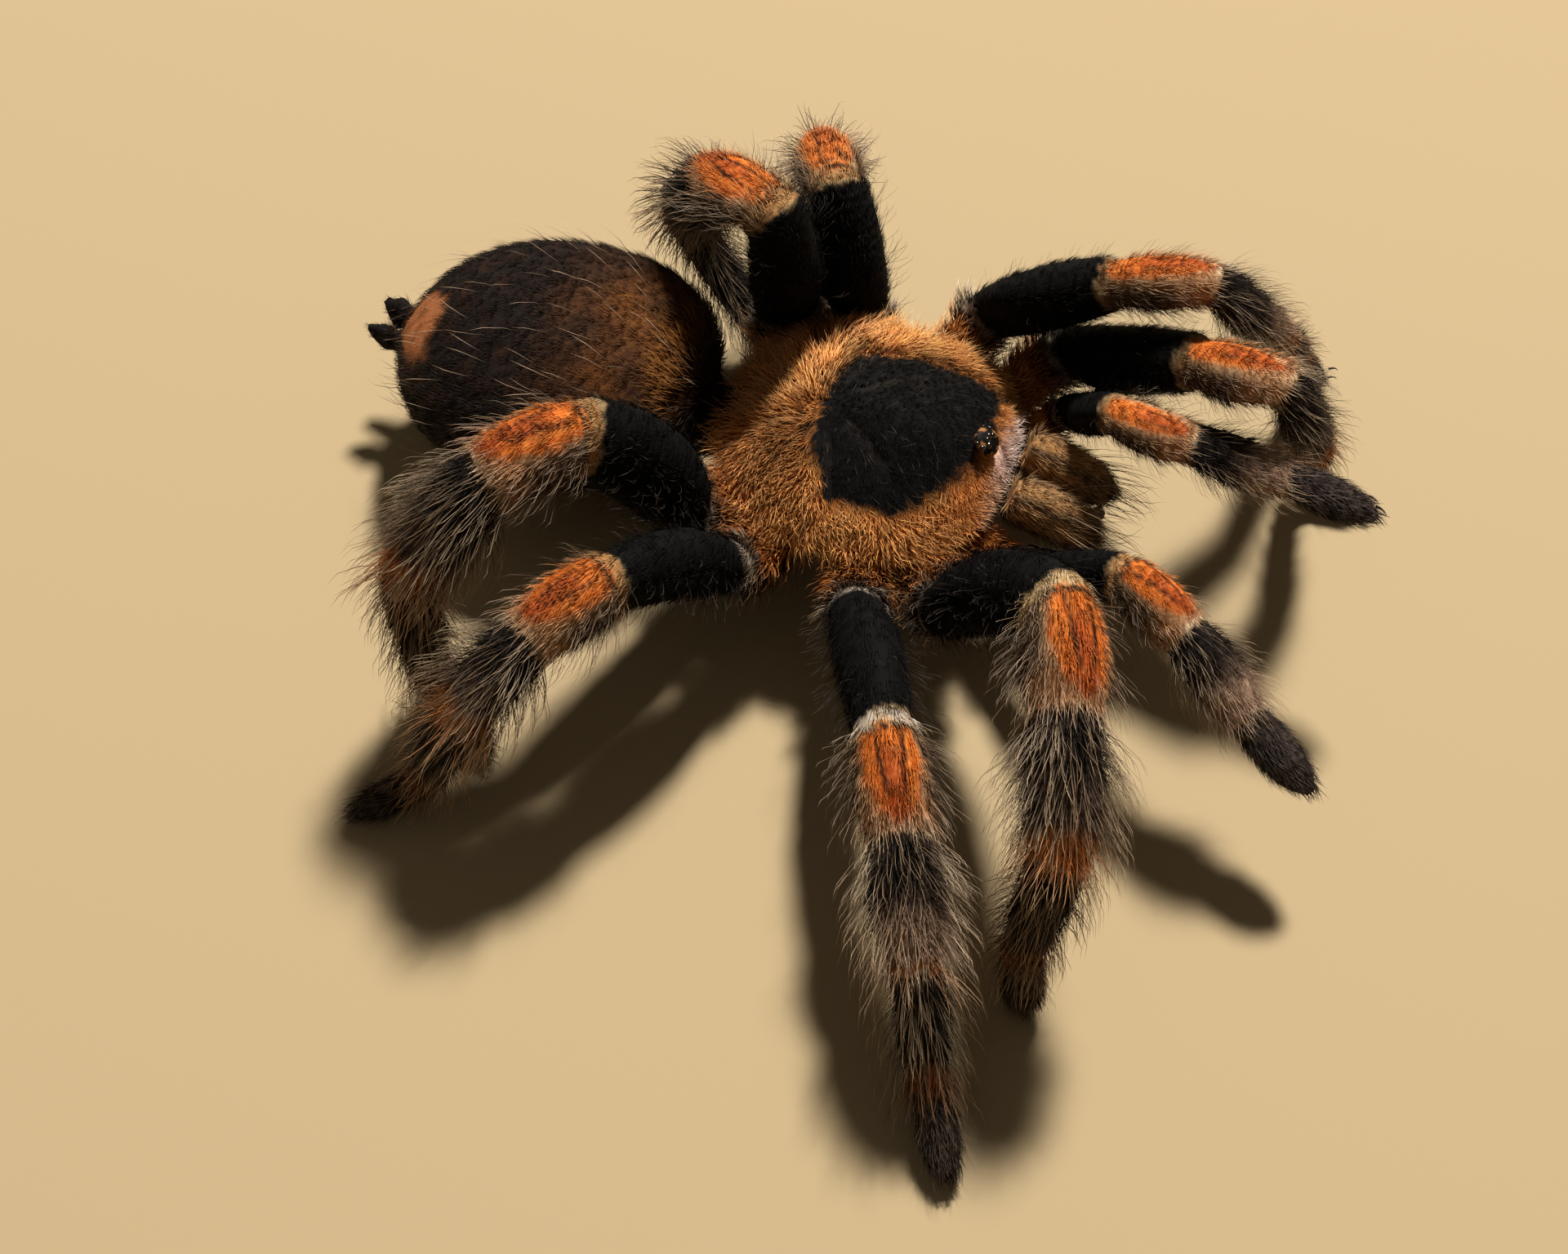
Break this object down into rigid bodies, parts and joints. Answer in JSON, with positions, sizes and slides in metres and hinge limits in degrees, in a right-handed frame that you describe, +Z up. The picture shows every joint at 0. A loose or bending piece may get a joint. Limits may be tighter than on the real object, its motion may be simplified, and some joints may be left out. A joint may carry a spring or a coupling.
{
  "type": "red knee tarantula",
  "caption": "Life-size still model of a red knee tarantula standing with high bent knees, furry black legs with orange knee bands and a tan-rimmed shield.",
  "frame": {"origin": "middle of the footprint box, on the floor", "axes": "+X to the spider's left, +Y towards its tail, +Z up"},
  "size_m": [0.0756, 0.0784, 0.025],
  "materials": {
    "velvet_coat": "short brown-black velvet hair",
    "flame_coat": "bright orange hair with bald stripes",
    "brown_coat": "grey-brown hair with pale bristles",
    "black_coat": "dense black hair with pale bristles",
    "tan_coat": "tan-orange felted hair",
    "polished_black": "glossy black chitin"
  },
  "bodies": {
    "root": {"abdomen": "velvet_coat", "carapace": "tan_coat", "chelicera_left": "brown_coat", "chelicera_right": "brown_coat", "eye_tubercle": "polished_black", "fang_left": "polished_black", "fang_right": "polished_black", "left_leg_1_femur": "velvet_coat", "left_leg_1_foot": "black_coat", "left_leg_1_hip": "brown_coat", "left_leg_1_patella": "flame_coat", "left_leg_1_tibia": "brown_coat", "left_leg_2_femur": "velvet_coat", "left_leg_2_foot": "black_coat", "left_leg_2_hip": "brown_coat", "left_leg_2_patella": "flame_coat", "left_leg_2_tibia": "brown_coat", "left_leg_3_femur": "velvet_coat", "left_leg_3_foot": "black_coat", "left_leg_3_hip": "brown_coat", "left_leg_3_patella": "flame_coat", "left_leg_3_tibia": "brown_coat", "left_leg_4_femur": "velvet_coat", "left_leg_4_foot": "black_coat", "left_leg_4_hip": "brown_coat", "left_leg_4_patella": "flame_coat", "left_leg_4_tibia": "brown_coat", "left_palp_femur": "velvet_coat", "left_palp_foot": "black_coat", "left_palp_hip": "brown_coat", "left_palp_patella": "flame_coat", "left_palp_tibia": "brown_coat", "right_leg_1_femur": "velvet_coat", "right_leg_1_foot": "black_coat", "right_leg_1_hip": "brown_coat", "right_leg_1_patella": "flame_coat", "right_leg_1_tibia": "brown_coat", "right_leg_2_femur": "velvet_coat", "right_leg_2_foot": "black_coat", "right_leg_2_hip": "brown_coat", "right_leg_2_patella": "flame_coat", "right_leg_2_tibia": "brown_coat", "right_leg_3_femur": "velvet_coat", "right_leg_3_foot": "black_coat", "right_leg_3_hip": "brown_coat", "right_leg_3_patella": "flame_coat", "right_leg_3_tibia": "brown_coat", "right_leg_4_femur": "velvet_coat", "right_leg_4_foot": "black_coat", "right_leg_4_hip": "brown_coat", "right_leg_4_patella": "flame_coat", "right_leg_4_tibia": "brown_coat", "right_palp_femur": "velvet_coat", "right_palp_foot": "black_coat", "right_palp_hip": "brown_coat", "right_palp_patella": "flame_coat", "right_palp_tibia": "brown_coat", "spinneret_left": "velvet_coat", "spinneret_right": "velvet_coat", "sternum": "velvet_coat"}
  },
  "joints": []
}
